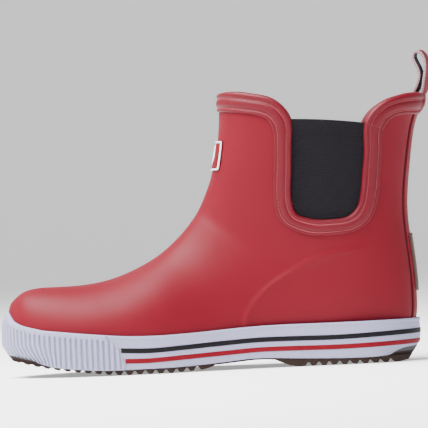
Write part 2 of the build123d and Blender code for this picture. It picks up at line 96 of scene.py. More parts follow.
def spline(points, share):
    """A natural cubic curve through points, read at shares from 0 to 1 of its chord length."""
    points = np.asarray(points, float)
    flat = points.reshape(len(points), -1)
    chord = np.linalg.norm(np.diff(flat, axis=0), axis=1)
    knots = np.concatenate([[0], np.cumsum(chord)])
    n = len(knots)
    step = np.diff(knots)
    system = np.eye(n)
    right = np.zeros_like(flat)
    for i in range(1, n - 1):
        system[i, i - 1 : i + 2] = (step[i - 1], 2 * (step[i - 1] + step[i]), step[i])
        right[i] = 6 * ((flat[i + 1] - flat[i]) / step[i] - (flat[i] - flat[i - 1]) / step[i - 1])
    bend = np.linalg.solve(system, right)
    at = np.asarray(share, float) * knots[-1]
    k = np.clip(np.searchsorted(knots, at, side="right") - 1, 0, n - 2)
    h = step[k][:, None]
    a = (knots[k + 1] - at)[:, None] / h
    b = (at - knots[k])[:, None] / h
    out = a * flat[k] + b * flat[k + 1]
    out += ((a**3 - a) * bend[k] + (b**3 - b) * bend[k + 1]) * h * h / 6
    return out.reshape((len(at),) + points.shape[1:])


def ease(x):
    """A smooth step from 0 at x = 0 to 1 at x = 1."""
    x = np.clip(x, 0.0, 1.0)
    return x * x * (3 - 2 * x)


def section(row, inset, count):
    """Points around one section of the upper, as CAD's skin has them."""
    fx, fz, bx, bz, medial, lateral, widest, n_front, n_back, lead = row
    length = math.hypot(fx - bx, fz - bz)
    ux, uz = (fx - bx) / length, (fz - bz) / length
    inner = inset * math.sqrt(1 - lead * lead)
    base_x, base_z = bx + ux * inner + inset * lead, bz + uz * inner
    length -= 2 * inner
    half, middle = (medial + lateral) / 2 - inner, (lateral - medial) / 2
    angle = 2 * np.pi * np.arange(count) / count - np.pi / 2
    c, u = np.cos(angle), np.sin(angle)
    power = np.where(u > 0, 2 / n_front, 2 / n_back)
    reach = length * np.where(u > 0, 1 - widest, widest)
    y = middle + half * np.sign(c) * np.abs(c) ** power
    s = length * widest + reach * np.sign(u) * np.abs(u) ** power
    return np.stack([base_x + ux * s, y, base_z + uz * s], axis=1)


def skin(inset, rows=300, count=240):
    """A grid of points over the upper's surface moved inwards by inset."""
    rings = np.array([section(row, inset, count) for row in SECTIONS])
    return spline(rings, np.linspace(0, 1, rows))


def grid_faces(n, m, wrap_m=False):
    """The quads of a grid of n rows and m columns. wrap_m joins its last column to its first."""
    i, j = np.meshgrid(np.arange(n - 1), np.arange(m if wrap_m else m - 1), indexing="ij")
    i, j = i.ravel(), j.ravel()
    i2, j2 = i + 1, (j + 1) % m
    return np.stack([i * m + j, i2 * m + j, i2 * m + j2, i * m + j2], axis=1)


def mesh(name, points, faces, material, body="boot", smooth=True, flip=False):
    """A piece of the boot from points in millimetres."""
    points = (np.asarray(points, float).reshape(-1, 3) + (SHIFT, 0, 0)) * MM
    faces = np.asarray(faces)
    if flip:
        faces = faces[:, ::-1]
    used, inverse = np.unique(faces, return_inverse=True)
    data = bpy.data.meshes.new(name)
    data.from_pydata(points[used].tolist(), [], inverse.reshape(faces.shape).tolist())
    data.update()
    if smooth:
        data.polygons.foreach_set("use_smooth", np.ones(len(data.polygons), bool))
    piece = bpy.data.objects.new(name, data)
    bpy.context.scene.collection.objects.link(piece)
    if material:
        data.materials.append(material)
    if body:
        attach(piece, body)
    return piece


class Base:
    """The upper's outer surface, to lay other pieces on."""

    def __init__(self, points):
        n, m = points.shape[:2]
        self.points = points.reshape(-1, 3)
        self.faces = grid_faces(n, m, wrap_m=True)
        d_u = np.gradient(points, axis=0)
        d_v = (np.roll(points, -1, axis=1) - np.roll(points, 1, axis=1)) / 2
        normal = np.cross(d_v, d_u)
        normal /= np.maximum(np.linalg.norm(normal, axis=2, keepdims=True), 1e-9)
        self.normals = normal.reshape(-1, 3)
        self.tree = BVHTree.FromPolygons(self.points.tolist(), self.faces.tolist())

    def _out(self, spot, face):
        """The smooth way out of the surface at a spot on one of its faces."""
        corners = self.faces[face]
        weight = np.array(poly_3d_calc([Vector(self.points[c]) for c in corners], spot))
        normal = weight @ self.normals[corners]
        return normal / max(np.linalg.norm(normal), 1e-9)

    def side(self, x, z, sign):
        """The surface at x, z on the medial side (sign -1) or the lateral side (1)."""
        return self.shot((x, 200.0 * sign, z), (0, -sign, 0))

    def shot(self, origin, way):
        """The surface where a ray from the origin first meets it."""
        spot, _, face, _ = self.tree.ray_cast(Vector(origin), Vector(way))
        return np.array(spot), self._out(spot, face)


outer_grid = skin(0.0)
base = Base(outer_grid)

# Height profiles of the sole's side wall, x and z in side view.
FOXING_TOP = [
    (-131.4, 43.3), (-127.6, 35.6), (-121.0, 32.2), (-109.0, 29.2), (-84.0, 26.3), (-54.0, 23.6),
    (-24.0, 23.6), (25.0, 26.0), (74.0, 26.1), (150.0, 26.3),
]
FOXING_FOOT = [
    (-137.0, 13.6), (-123.7, 10.3), (-111.0, 7.6), (-97.5, 5.6), (-84.8, 4.2), (-70.0, 3.2), (-40.0, 3.1),
    (-22.0, 3.4), (0.0, 4.6), (22.0, 6.1), (48.0, 5.0), (72.0, 4.0), (97.0, 3.8), (130.0, 4.8),
]
DARK_LINE = [
    (-80.0, 17.6), (-61.0, 16.6), (-43.0, 15.8), (-24.0, 16.6), (0.0, 17.9), (25.0, 19.0), (74.0, 18.6),
    (112.0, 19.6), (140.0, 20.2),
]
RED_LINE = [
    (-80.0, 10.8), (-56.0, 9.9), (-43.0, 9.7), (-25.0, 10.5), (0.0, 11.7), (25.0, 12.9), (74.0, 12.5),
    (112.0, 13.2), (140.0, 13.6),
]
TOE_NOSE = [(2.0, -125.5), (10.3, -128.2), (14.6, -132.6), (23.0, -136.6), (34.0, -135.3), (46.0, -130.0)]
HEEL_BACK = [(1.5, 117.0), (6.0, 120.6), (11.5, 124.6), (20.0, 125.8), (30.0, 125.9), (54.0, 124.6)]
# Where the toe strip ends, z and x.
BUMPER_END = [
    (-10.0, -57.2), (6.2, -57.7), (11.0, -59.2), (16.4, -61.4), (20.1, -64.8), (22.8, -68.6), (60.0, -68.6),
]
INSOLE_LINE = [
    (-137.0, 24.6), (-118.0, 19.6), (-100.0, 16.9), (-84.0, 16.0), (-60.0, 15.7), (-35.0, 15.8),
    (-5.0, 16.3), (30.0, 17.3), (60.0, 17.1), (90.0, 16.3), (130.0, 16.6),
]
STRAP_LINE = [
    (126.8, 156.8), (127.8, 160.0), (128.6, 163.0), (129.6, 166.8), (131.2, 169.8), (132.6, 173.2),
    (133.3, 177.4), (132.2, 181.9), (130.5, 185.7), (129.5, 189.2), (130.4, 191.4), (132.6, 192.2),
    (134.8, 190.9), (136.2, 188.6), (136.9, 185.0), (136.7, 180.2), (136.2, 174.0), (135.7, 170.6),
    (134.9, 167.6), (134.1, 164.8), (133.2, 161.0), (131.9, 156.4),
]
# The collar tape: a point on its mouth edge and the one across from it on its lower edge, x and z.
TAPE_PAIRS = [
    (19.4, 171.2, 18.7, 157.8), (26.8, 169.7, 24.5, 156.7), (34.1, 168.0, 29.5, 155.6),
    (41.3, 164.4, 34.0, 153.8), (46.9, 158.8, 36.6, 151.2), (50.1, 152.4, 38.4, 147.0),
    (50.0, 141.0, 39.1, 139.6), (49.0, 122.0, 38.2, 121.0), (48.2, 103.0, 37.3, 103.0),
    (50.4, 95.0, 39.5, 91.8), (55.8, 91.6, 47.5, 84.6), (64.8, 89.8, 60.0, 80.3),
    (74.2, 89.9, 75.0, 80.2), (84.0, 92.0, 90.0, 83.4), (88.6, 96.6, 97.4, 90.2),
    (91.0, 103.8, 101.6, 101.6), (93.0, 119.0, 103.5, 117.0), (94.5, 134.0, 105.2, 132.5),
    (95.4, 147.6, 106.5, 143.4), (97.8, 152.4, 109.0, 147.9), (101.6, 156.9, 112.4, 150.9),
    (108.6, 161.5, 115.4, 152.2), (115.6, 163.8, 119.4, 152.9), (122.8, 165.3, 123.4, 152.9),
]
LAP = 18  # the rear tape starts at this pair


def read(table, x):
    """A smooth reading of a table of x and value pairs."""
    table = np.asarray(table, float)
    share = np.interp(x, table[:, 0], np.arange(len(table)))
    k = np.clip(share.astype(int), 0, len(table) - 2)
    t = share - k
    slope = np.gradient(table[:, 1])
    a, b = table[k, 1], table[k + 1, 1]
    square = 3 * (b - a) - 2 * slope[k] - slope[k + 1]
    cube = 2 * (a - b) + slope[k] + slope[k + 1]
    return a + t * slope[k] + square * t**2 + cube * t**3


def inside(polygon, x, z):
    """Which of the points x, z lie inside a polygon."""
    hit = np.zeros(x.shape, bool)
    for (x0, z0), (x1, z1) in zip(polygon, np.roll(polygon, -1, axis=0)):
        if z0 != z1:
            hit ^= ((z0 > z) != (z1 > z)) & (x < (x1 - x0) * (z - z0) / (z1 - z0) + x0)
    return hit


# Materials
def colour(r, g, b):
    """Linear colour from screen values 0 to 255."""
    return [((c / 255 + 0.055) / 1.055) ** 2.4 if c > 10 else c / 3294 for c in (r, g, b)] + [1.0]


class Shader:
    """A principled material, with helpers for its procedural detail."""

    def __init__(self, name, base, rough, specular=0.5):
        self.material = bpy.data.materials.new(name)
        self.material.use_nodes = True
        self.tree = self.material.node_tree
        self.nodes, self.links = self.tree.nodes, self.tree.links
        self.shader = self.nodes["Principled BSDF"]
        self.shader.inputs["Base Color"].default_value = base
        self.shader.inputs["Roughness"].default_value = rough
        self.shader.inputs["Specular IOR Level"].default_value = specular
        self.material.diffuse_color = base
        self.height = None

    def add(self, kind, **inputs):
        """A new node with some of its inputs set."""
        node = self.nodes.new(kind)
        for key, value in inputs.items():
            node.inputs[key.replace("_", " ")].default_value = value
        return node

    def place(self):
        """The piece's own coordinates."""
        spot = self.nodes.new("ShaderNodeTexCoord")
        return spot.outputs["Object"]

    def noise(self, scale, detail=4.0, rough=0.5):
        """Noise from 0 to 1, of a scale in grains per metre."""
        node = self.add("ShaderNodeTexNoise", Scale=scale, Detail=detail, Roughness=rough)
        self.links.new(self.place(), node.inputs["Vector"])
        return node.outputs["Fac"]

    def wave(self, scale, direction, distortion=0.0):
        """Even ribs from 0 to 1 across one direction."""
        node = self.add("ShaderNodeTexWave", Scale=scale, Distortion=distortion)
        node.bands_direction = direction
        node.wave_profile = "SIN"
        self.links.new(self.place(), node.inputs["Vector"])
        return node.outputs["Fac"]

    def sum(self, a, b, operation="ADD"):
        """Two values or sockets joined by one operation."""
        node = self.nodes.new("ShaderNodeMath")
        node.operation = operation
        for i, value in enumerate((a, b)):
            if isinstance(value, float):
                node.inputs[i].default_value = value
            else:
                self.links.new(value, node.inputs[i])
        return node.outputs[0]

    def bump(self, height, distance, strength=1.0):
        """Relief of a depth in metres, on top of any relief before it."""
        node = self.add("ShaderNodeBump", Strength=strength, Distance=distance)
        self.links.new(height, node.inputs["Height"])
        if self.height is not None:
            self.links.new(self.height, node.inputs["Normal"])
        self.height = node.outputs["Normal"]
        self.links.new(self.height, self.shader.inputs["Normal"])
        return self

    def tint(self, factor, low, high):
        """Base colour between two colours."""
        ramp = self.nodes.new("ShaderNodeValToRGB")
        ramp.color_ramp.elements[0].color = low
        ramp.color_ramp.elements[1].color = high
        self.links.new(factor, ramp.inputs["Fac"])
        self.links.new(ramp.outputs["Color"], self.shader.inputs["Base Color"])
        return self

    def gloss(self, factor, low, high):
        """Roughness between two values."""
        node = self.add("ShaderNodeMapRange", To_Min=low, To_Max=high)
        self.links.new(factor, node.inputs["Value"])
        self.links.new(node.outputs["Result"], self.shader.inputs["Roughness"])
        return self


def rubber(name, base, rough, grain=0.00002, shade=0.9, specular=0.5):
    """Moulded rubber: its colour and gloss vary softly, and a fine grain covers it."""
    made = Shader(name, base, rough, specular)
    low = [c * shade for c in base[:3]] + [1.0]
    made.tint(made.noise(35.0, 3.0), low, base)
    made.gloss(made.noise(90.0, 3.0), rough - 0.04, rough + 0.05)
    made.bump(made.noise(1600.0, 2.0), grain, 0.5)
    return made


RED = (0.122, 0.0014, 0.008, 1.0)
red_rubber = rubber("red_rubber", RED, 0.55, shade=0.95, specular=0.14).material
tape_rubber = rubber("tape_rubber", (0.098, 0.0011, 0.007, 1.0), 0.48, shade=0.95, specular=0.2).material
# The moulded mock stitches get a paler red than the tape around them: a painted highlight on the beads.
stitch_highlight_rubber = rubber("stitch_highlight_rubber", (0.30, 0.03, 0.04, 1.0), 0.4).material
# The dark red below is painted shade: it colours the shadow line beside the heel strip and round the badge
# frame's side wall.
painted_shade_red = rubber("painted_shade_red", colour(54, 0, 8), 0.6, specular=0.1).material
white_rubber = rubber("white_rubber", colour(140, 140, 166), 0.5, shade=0.96, specular=0.3).material
black_rubber = rubber("black_rubber", colour(14, 11, 15), 0.55, specular=0.12).material
stripe_rubber = rubber("stripe_rubber", colour(104, 2, 18), 0.55, specular=0.12).material
badge_red = rubber("badge_red", colour(96, 2, 16), 0.55, specular=0.12).material
badge_white = rubber("badge_white", colour(225, 222, 226), 0.45).material
hard_rubber = rubber("stiffener", colour(120, 40, 42), 0.6).material
board = rubber("board", colour(150, 132, 108), 0.8, 0.0001).material

made = rubber("sole_rubber", colour(40, 27, 23), 0.7, 0.00006, specular=0.15)
made.bump(made.noise(420.0, 5.0, 0.65), 0.00012, 0.6)
sole_rubber = made.material

made = rubber("sponge", colour(70, 70, 74), 0.9)
made.bump(made.noise(900.0, 6.0, 0.8), 0.0004)
sponge = made.material

made = rubber("reflector", colour(74, 58, 50), 0.45, specular=0.3)
made.bump(made.sum(made.wave(310.0, "Y"), made.wave(310.0, "Z"), "MULTIPLY"), 0.00012, 0.7)
reflector = made.material

made = Shader("elastic", colour(20, 17, 20), 0.85, 0.12)
ribs = made.wave(260.0, "Z", 0.5)
threads = made.wave(300.0, "X", 0.6)
fuzz = made.noise(1500.0, 3.0)
weave = made.sum(made.sum(ribs, 0.75, "MULTIPLY"), made.sum(threads, 0.5, "MULTIPLY"))
made.tint(made.sum(weave, fuzz, "MULTIPLY"), colour(3, 2, 3), colour(34, 30, 37))
made.bump(weave, 0.00022, 0.8).bump(fuzz, 0.00015, 0.5)
made.shader.inputs["Sheen Weight"].default_value = 0.02
elastic = made.material

made = Shader("lining_cloth", colour(196, 193, 188), 0.95, 0.2)
knit = made.sum(made.wave(260.0, "Z", 1.2), made.wave(260.0, "X", 1.2), "MULTIPLY")
made.tint(knit, colour(150, 147, 144), colour(206, 203, 198))
made.bump(knit, 0.0003, 0.8)
lining_cloth = made.material

made = Shader("footbed_cloth", colour(150, 148, 150), 0.95, 0.2)
nap = made.noise(900.0, 5.0, 0.7)
made.tint(nap, colour(104, 102, 106), colour(168, 166, 168))
made.bump(nap, 0.0004, 0.7)
footbed_cloth = made.material


def webbing(name, low, high):
    """Woven strap between a low and a high colour."""
    made = Shader(name, high, 0.8, 0.3)
    weave = made.sum(made.wave(300.0, "Z"), made.wave(420.0, "Y"), "MULTIPLY")
    made.tint(weave, low, high)
    made.bump(weave, 0.00025, 0.8)
    return made.material


strap_red = webbing("webbing", colour(84, 14, 24), colour(140, 44, 54))
strap_pale = webbing("webbing_edge", colour(120, 84, 90), colour(176, 150, 154))
strap_dark = webbing("webbing_inside", colour(34, 28, 36), colour(78, 68, 78))


def lay(name, material):
    """Gives a material to a CAD node that is shown as it is."""
    node = nodes[name]
    node.data.materials.clear()
    node.data.materials.append(material)


# Collar tape
AXIS_X = 65.0


def around(theta, z):
    """The shaft's surface at an angle around its upright axis, measured from the instep."""
    way = np.array((-math.cos(theta), math.sin(theta), 0.0))
    return base.shot(np.array((AXIS_X, 0, z)) + 200 * way, -way)


def tape_path():
    """Angle and height of both edges of the tape, from the heel round the medial side and back."""
    half = [((0.0, 171.2), (0.0, 159.6))]
    for ex, ez, fx, fz in TAPE_PAIRS:
        pair = []
        for x, z in ((ex, ez), (fx, fz)):
            spot, _ = base.side(x, z, 1)
            pair.append((AXIS_X * math.atan2(spot[1], AXIS_X - x), z))
        half.append(tuple(pair))
    half.append(((AXIS_X * math.pi, 165.8), (AXIS_X * math.pi, 152.9)))
    half = np.array(half)
    other = half[:0:-1].copy()
    other[:, :, 0] *= -1
    return np.concatenate([other, half])


path = tape_path()
chord = np.concatenate([[0], np.cumsum(np.linalg.norm(np.diff(path.reshape(len(path), -1), axis=0), axis=1))])
middle = len(path) // 2
lap_share = chord[middle + 1 + LAP] / chord[-1]
turn_once = np.array(((2 * math.pi * AXIS_X, 0.0), (2 * math.pi * AXIS_X, 0.0)))
long_path = np.concatenate([path[-4:-1] - turn_once, path, path[1:4] + turn_once])
long_chord = np.cumsum(np.linalg.norm(np.diff(long_path.reshape(len(long_path), -1), axis=0), axis=1))
path_start, path_end = long_chord[2] / long_chord[-1], long_chord[-4] / long_chord[-1]


def tape_line(share):
    """Both edges of the tape at shares of its way round, smooth through the heel."""
    return spline(long_path, path_start + (path_end - path_start) * np.asarray(share))


STATIONS = 1150
shares = np.linspace(0, 1, STATIONS)
stations = tape_line(shares)

# The tape's section: share of the width from the mouth edge, and height over the upper.
TAPE_PROFILE = [
    (1.0, -0.4), (0.997, 0.5), (0.975, 1.05), (0.93, 1.3), (0.86, 1.3), (0.83, 1.15), (0.81, 0.9),
    (0.79, 0.8), (0.77, 0.9), (0.74, 1.15), (0.70, 1.45), (0.63, 1.75), (0.53, 1.85), (0.43, 1.75),
    (0.36, 1.45), (0.32, 1.2), (0.295, 0.9), (0.275, 0.8), (0.255, 0.9), (0.23, 1.15), (0.19, 1.35),
    (0.12, 1.5), (0.05, 1.4), (0.0, 1.0), (-0.045, 0.35), (-0.065, -0.8), (-0.065, -2.6), (-0.045, -3.6),
    (0.0, -4.1), (0.08, -4.3), (0.5, -4.3), (0.95, -4.3), (1.0, -3.9), (1.0, -3.2),
]
MOUTH_TUCK = 0.065  # share of the width that the tape's wrap takes at the mouth
REAR_RAISE = 0.35  # the rear tape is this much thicker
PAD_HALF_WIDTH, PAD_FADE = 9.0, 2.5  # the thick part of the rear tape at the loop
PAD_EDGE, PAD_CROWN = 1.1, 2.0
LAP_STATIONS = 5  # the front tape reaches this far under the rear one


def tape(name, places, raised, padded_end):
    """One tape over some stations of the path. The rear one ends in a step."""
    rows = []
    for i, k in enumerate(places):
        (e_turn, e_z), (f_turn, f_z) = stations[k]
        end = min(i, len(places) - 1 - i)
        fade = min(1.0, (end + 0.15) / 2.0) if padded_end else 1.0
        row = []
        for f, h in TAPE_PROFILE:
            f += MOUTH_TUCK * (1 - f)
            turn, z = e_turn + (f_turn - e_turn) * f, e_z + (f_z - e_z) * f
            spot, out = around(turn / AXIS_X, z)
            if h > 0:
                h = (h + raised) * fade
                near_heel = padded_end and spot[0] > AXIS_X
                pad = ease((PAD_HALF_WIDTH - abs(spot[1])) / PAD_FADE) if near_heel else 0.0
                crown = max(0.0, 1 - ((f - 0.47) / 0.53) ** 2)
                h = h * (1 - pad) + (PAD_EDGE + PAD_CROWN * crown) * pad
            row.append(spot + out * h)
        rows.append(row)
    rows = np.array(rows)
    return mesh(name, rows, grid_faces(*rows.shape[:2]), tape_rubber, flip=True)


lap_at = int(lap_share * (STATIONS - 1))
mirror_lap = STATIONS - 1 - lap_at
front_places = list(range(mirror_lap - LAP_STATIONS + 1, lap_at + LAP_STATIONS))
front_tape = tape("binding_front_band", front_places, 0.0, False)
rear_places = list(range(lap_at, STATIONS)) + list(range(1, mirror_lap + 1))
rear_tape = tape("binding_rear_band", rear_places, REAR_RAISE, True)


def bead():
    """A small rounded grain: corners along, across and out, and its faces."""
    points, rings, around_it = [], 5, 6
    for i in range(rings):
        a = math.pi * i / (rings - 1)
        for j in range(around_it):
            b = 2 * math.pi * j / around_it
            points.append((math.cos(a), math.sin(a) * math.cos(b), math.sin(a) * math.sin(b)))
    return np.array(points), grid_faces(rings, around_it, wrap_m=True)


STITCH_PITCH = 1.8
STITCH_LENGTH, STITCH_WIDTH, STITCH_HEIGHT = 0.42, 0.40, 0.36  # half of each
STITCH_SLANT = 0.35


def stitches(name, f, h):
    """Mock stitches of the moulded tape, one row around the collar."""
    grain, grain_faces = bead()
    spots = []
    for share in np.arange(0.004, 0.996, STITCH_PITCH / chord[-1]):
        (e_turn, e_z), (f_turn, f_z) = tape_line([share])[0]
        w = f + MOUTH_TUCK * (1 - f)
        spot, out = around((e_turn + (f_turn - e_turn) * w) / AXIS_X, e_z + (f_z - e_z) * w)
        lift = REAR_RAISE if share > lap_share or share < 1 - lap_share else 0.0
        on_pad = abs(spot[1]) < PAD_HALF_WIDTH + 0.5 and spot[0] > AXIS_X
        spots.append((spot + out * (h + lift), out, on_pad))
    points, faces = [], []
    for k in range(1, len(spots) - 1):
        place, out, on_pad = spots[k]
        if on_pad:
            continue
        along = spots[k + 1][0] - spots[k - 1][0]
        along /= np.linalg.norm(along)
        across = np.cross(out, along)
        turned = grain[:, :1] * along * STITCH_LENGTH + grain[:, 2:] * out * STITCH_HEIGHT
        turned = turned + grain[:, 1:2] * (across + STITCH_SLANT * along) * STITCH_WIDTH
        faces.append(grain_faces + len(points) * len(grain))
        points.append(place + turned)
    piece = mesh(name, np.concatenate(points), np.concatenate(faces), stitch_highlight_rubber)


stitches("tape_stitches_outer", 0.79, 0.98)
stitches("tape_stitches_inner", 0.275, 0.98)
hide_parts("binding_front", "collar_facing")
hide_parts("binding_rear")

# Upper: the skin, open at the mouth, with the counter's soft ridge
edge_line = []
for k in range(middle * STATIONS // len(path), STATIONS):
    if stations[k][0][0] > 0:
        turn, z = 0.82 * stations[k][0] + 0.18 * stations[k][1]
        spot, _ = around(turn / AXIS_X, z)
        edge_line.append((spot[0], spot[2]))
mouth_line = np.array([(-60.0, 169.2)] + edge_line + [(190.0, 163.5), (190.0, 230.0), (-60.0, 230.0)])
counter_line = spline(np.array(COUNTER_EDGE), np.linspace(0, 1, 160))
counter_area = np.concatenate([counter_line, [(140.0, 20.0)]])


RIDGE_HEIGHT, RIDGE_WIDTH = 0.95, 1.9
COUNTER_STEP = 0.3  # the upper stands this far out over the counter
RIDGE_FADES_FROM, RIDGE_FADE = 66.0, 34.0


def upper():
    """The rubber skin with the mouth and the gusset notches cut out."""
    grid = skin(0.0, 320, 320)
    n, m = grid.shape[:2]
    flat = grid.reshape(-1, 3)
    d_u = np.gradient(grid, axis=0)
    d_v = (np.roll(grid, -1, axis=1) - np.roll(grid, 1, axis=1)) / 2
    normal = np.cross(d_v, d_u).reshape(-1, 3)
    normal /= np.maximum(np.linalg.norm(normal, axis=1, keepdims=True), 1e-9)
    near = (flat[:, 0] > 0) & (flat[:, 2] < 90)
    spots = flat[near][:, (0, 2)]
    gap = np.full(len(spots), 1e9)
    for point in counter_line:
        gap = np.minimum(gap, np.hypot(*(spots - point).T))
    gap = np.where(inside(counter_area, spots[:, 0], spots[:, 1]), gap, -gap)
    fade = 1 - ease((spots[:, 0] - RIDGE_FADES_FROM) / RIDGE_FADE)
    step, ridge = ease((gap + 2.5) / 5.0), np.exp(-((gap / RIDGE_WIDTH) ** 2))
    lift = (COUNTER_STEP * step + RIDGE_HEIGHT * ridge) * fade
    flat[near] += normal[near] * lift[:, None]
    faces = grid_faces(n, m, wrap_m=True)
    centre = flat[faces].mean(axis=1)
    keep = ~inside(mouth_line, centre[:, 0], centre[:, 2])
    return mesh("upper_shell_skin", flat, faces[keep], red_rubber)


upper_skin = upper()
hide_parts("upper_shell")


# Gussets
GUSSET_FOOT = 82.0
HEM = 8.0  # the folded hem's height


def gusset_top(x):
    """Height of the elastic's top edge, a little arched between the tapes."""
    slope = 154.0 - 0.11 * (x - 32) + 0.00044 * (x - 32) * (x - 72)
    return slope + max(0.0, 0.9 - 0.9 * ((x - 71.5) / 23.5) ** 2)


def gusset(name, sign, node):
    """One elastic panel, with a folded hem at the top that is sewn down in one line."""
    columns = np.linspace(40.5, 101.5, 120)
    levels = np.linspace(0, 1, 110)
    rows = []
    for x in columns:
        top = gusset_top(x)
        row = []
        for z in GUSSET_FOOT + (top - GUSSET_FOOT) * levels:
            hem = ease((z - top + HEM + 0.6) / 0.8)
            sunk_line = math.exp(-(((z - top + HEM) / 0.5) ** 2))
            spot, out = base.side(x, z, sign)
            row.append(spot - out * (1.35 - 0.5 * hem + 0.25 * sunk_line))
        spot, out = base.side(x, top, sign)
        for depth, rise in ((1.1, 0.5), (1.7, 0.7), (2.3, 0.4)):
            row.append(spot - out * depth + (0, 0, rise))
        for z in GUSSET_FOOT + (top - GUSSET_FOOT) * levels[::-2]:
            spot, out = base.side(x, z, sign)
            row.append(spot - out * 2.55)
        rows.append(row)
    rows = np.array(rows)
    piece = mesh(name, rows, grid_faces(*rows.shape[:2]), elastic, flip=sign > 0)
    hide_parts(node)


gusset("gusset_elastic_medial", -1, "gusset_medial")
gusset("gusset_elastic_lateral", 1, "gusset_lateral")


# Sole's side wall
def sole_outline():
    """Points along the sole outline, evenly spaced, and each one's run."""
    medial = [(x, -inner) for x, inner, _ in SOLE_PLAN]
    lateral = [(x, outer) for x, _, outer in SOLE_PLAN[::-1]]
    ring = np.array([TOE_TIP] + medial + [HEEL_END] + lateral)
    count = len(ring)
    long = np.concatenate([ring[-4:], ring, ring[:5]])
    steps = np.concatenate([[0], np.cumsum(np.linalg.norm(np.diff(long, axis=0), axis=1))])
    first, last = steps[4] / steps[-1], steps[4 + count] / steps[-1]
    fine = spline(long, np.linspace(first, last, 6001))
    run = np.concatenate([[0], np.cumsum(np.linalg.norm(np.diff(fine, axis=0), axis=1))])
    return fine, run


outline, outline_run = sole_outline()


def walk(spacing):
    """Evenly spaced points along the outline with outward ways."""
    count = int(round(outline_run[-1] / spacing))
    run = np.arange(count) * outline_run[-1] / count
    x = np.interp(run, outline_run, outline[:, 0])
    y = np.interp(run, outline_run, outline[:, 1])
    dx, dy = np.roll(x, -1) - np.roll(x, 1), np.roll(y, -1) - np.roll(y, 1)
    for _ in range(3):
        dx, dy = (np.roll(dx, 1) + dx + np.roll(dx, -1)) / 3, (np.roll(dy, 1) + dy + np.roll(dy, -1)) / 3
    length = np.hypot(dx, dy)
    return run, x, y, dy / length, -dx / length


def tuck(x, z):
    """How far the side wall moves back at the toe, and forward at the heel, at height z."""
    toe = np.maximum(0.0, read(TOE_NOSE, z) + 135.8) * ease((-96.0 - x) / 34.0)
    heel = np.maximum(0.0, 125.4 - read(HEEL_BACK, z)) * ease((x - 92.0) / 28.0)
    return toe - heel


def wall_top(x):
    """Height of the side wall's top edge at a station."""
    top = read(FOXING_TOP, np.maximum(x, -131.4))
    for _ in range(8):
        top = 0.5 * top + 0.5 * read(FOXING_TOP, np.clip(x + tuck(x, top) - 0.3, -131.4, 150.0))
    return top


def on_wall(x, y, out_x, out_y, grow, z):
    """A point on the side wall at height z, moved outwards by grow, with the toe and heel tucked under."""
    px, py = x + out_x * grow, y + out_y * grow
    return np.stack([px + tuck(x, z), py, z], axis=-1)


# Both walls tuck in over the upper at the top: growth outwards, and rise over the top edge.
TOP_TUCK = [(-0.4, 0.05), (-1.3, -0.1), (-1.7, -0.7), (-2.2, -1.2), (-4.5, -1.3)]


def side_wall():
    """The white rubber wall all around the sole."""
    run, x, y, ox, oy = walk(0.8)
    foot, top = read(FOXING_FOOT, x), wall_top(x)
    rows = []
    low = [(-3.4, 0.35), (-1.6, 0.05), (-0.7, 0.02), (-0.2, 0.35), (0.0, 1.0)]
    high = [(0.0, -2.0), (0.05, -1.75), (0.32, -1.55), (0.42, -1.05), (0.38, -0.45), (0.1, -0.08)] + TOP_TUCK
    for grow, rise in low:
        rows.append(on_wall(x, y, ox, oy, grow, foot + rise))
    for share in np.linspace(0.0, 1.0, 26)[1:-1]:
        rows.append(on_wall(x, y, ox, oy, 0.0, foot + 1.0 + (top - foot - 3.0) * share))
    for grow, rise in high:
        rows.append(on_wall(x, y, ox, oy, grow, top + rise))
    rows = np.array(rows)
    return mesh("foxing_wall", rows, grid_faces(*rows.shape[:2], wrap_m=True), white_rubber)


RIB_PITCH, RIB_DEPTH = 3.4, 1.4
RIB_TOP = 2.7  # the ribs end this far under the top edge


def bumper():
    """The ribbed strip around the toe, under a plain top band."""
    pitches = round(outline_run[-1] / RIB_PITCH)
    run, x, y, ox, oy = walk(outline_run[-1] / (pitches * 12))
    keep = x < -52.0
    order = np.argsort(np.where(run > outline_run[-1] / 2, run - outline_run[-1], run)[keep])
    run, x, y, ox, oy = (a[keep][order] for a in (run, x, y, ox, oy))
    foot, top = read(FOXING_FOOT, x), wall_top(x)
    phase = (run / (outline_run[-1] / pitches)) % 1.0 - 0.5
    groove = ease((np.abs(phase) - 0.20) / 0.24)
    low = [(-3.0, 0.3), (-0.4, -0.05), (0.6, 0.0), (1.1, 0.35), (1.35, 0.9)]
    high = [(1.55, -2.0), (1.6, -1.3), (1.55, -0.6), (1.2, -0.1), (0.6, 0.08)] + TOP_TUCK
    rows = []

    def add(grow, z, ribbed):
        """One row of points, which sinks into the wall past the strip's end."""
        stay = ease((np.interp(z, *np.array(BUMPER_END).T) - x) / 1.3)
        out = np.where(grow > 0, grow - RIB_DEPTH * groove * ribbed, grow)
        rows.append(on_wall(x, y, ox, oy, np.where(grow > -0.5, out * stay - 0.35 * (1 - stay), grow), z))

    for grow, rise in low:
        add(grow, foot + rise, min(1.0, max(0.0, rise * 1.2)))
    for share in np.linspace(0.0, 1.0, 34)[1:]:
        z = foot + 0.9 + (top - foot - 3.5) * share
        add(1.5, z, ease((top - RIB_TOP - z) / 0.8))
    for grow, rise in high:
        add(grow, top + rise, 0.0)
    rows = np.array(rows)
    return mesh("toe_bumper_ribs", rows, grid_faces(*rows.shape[:2]), white_rubber)


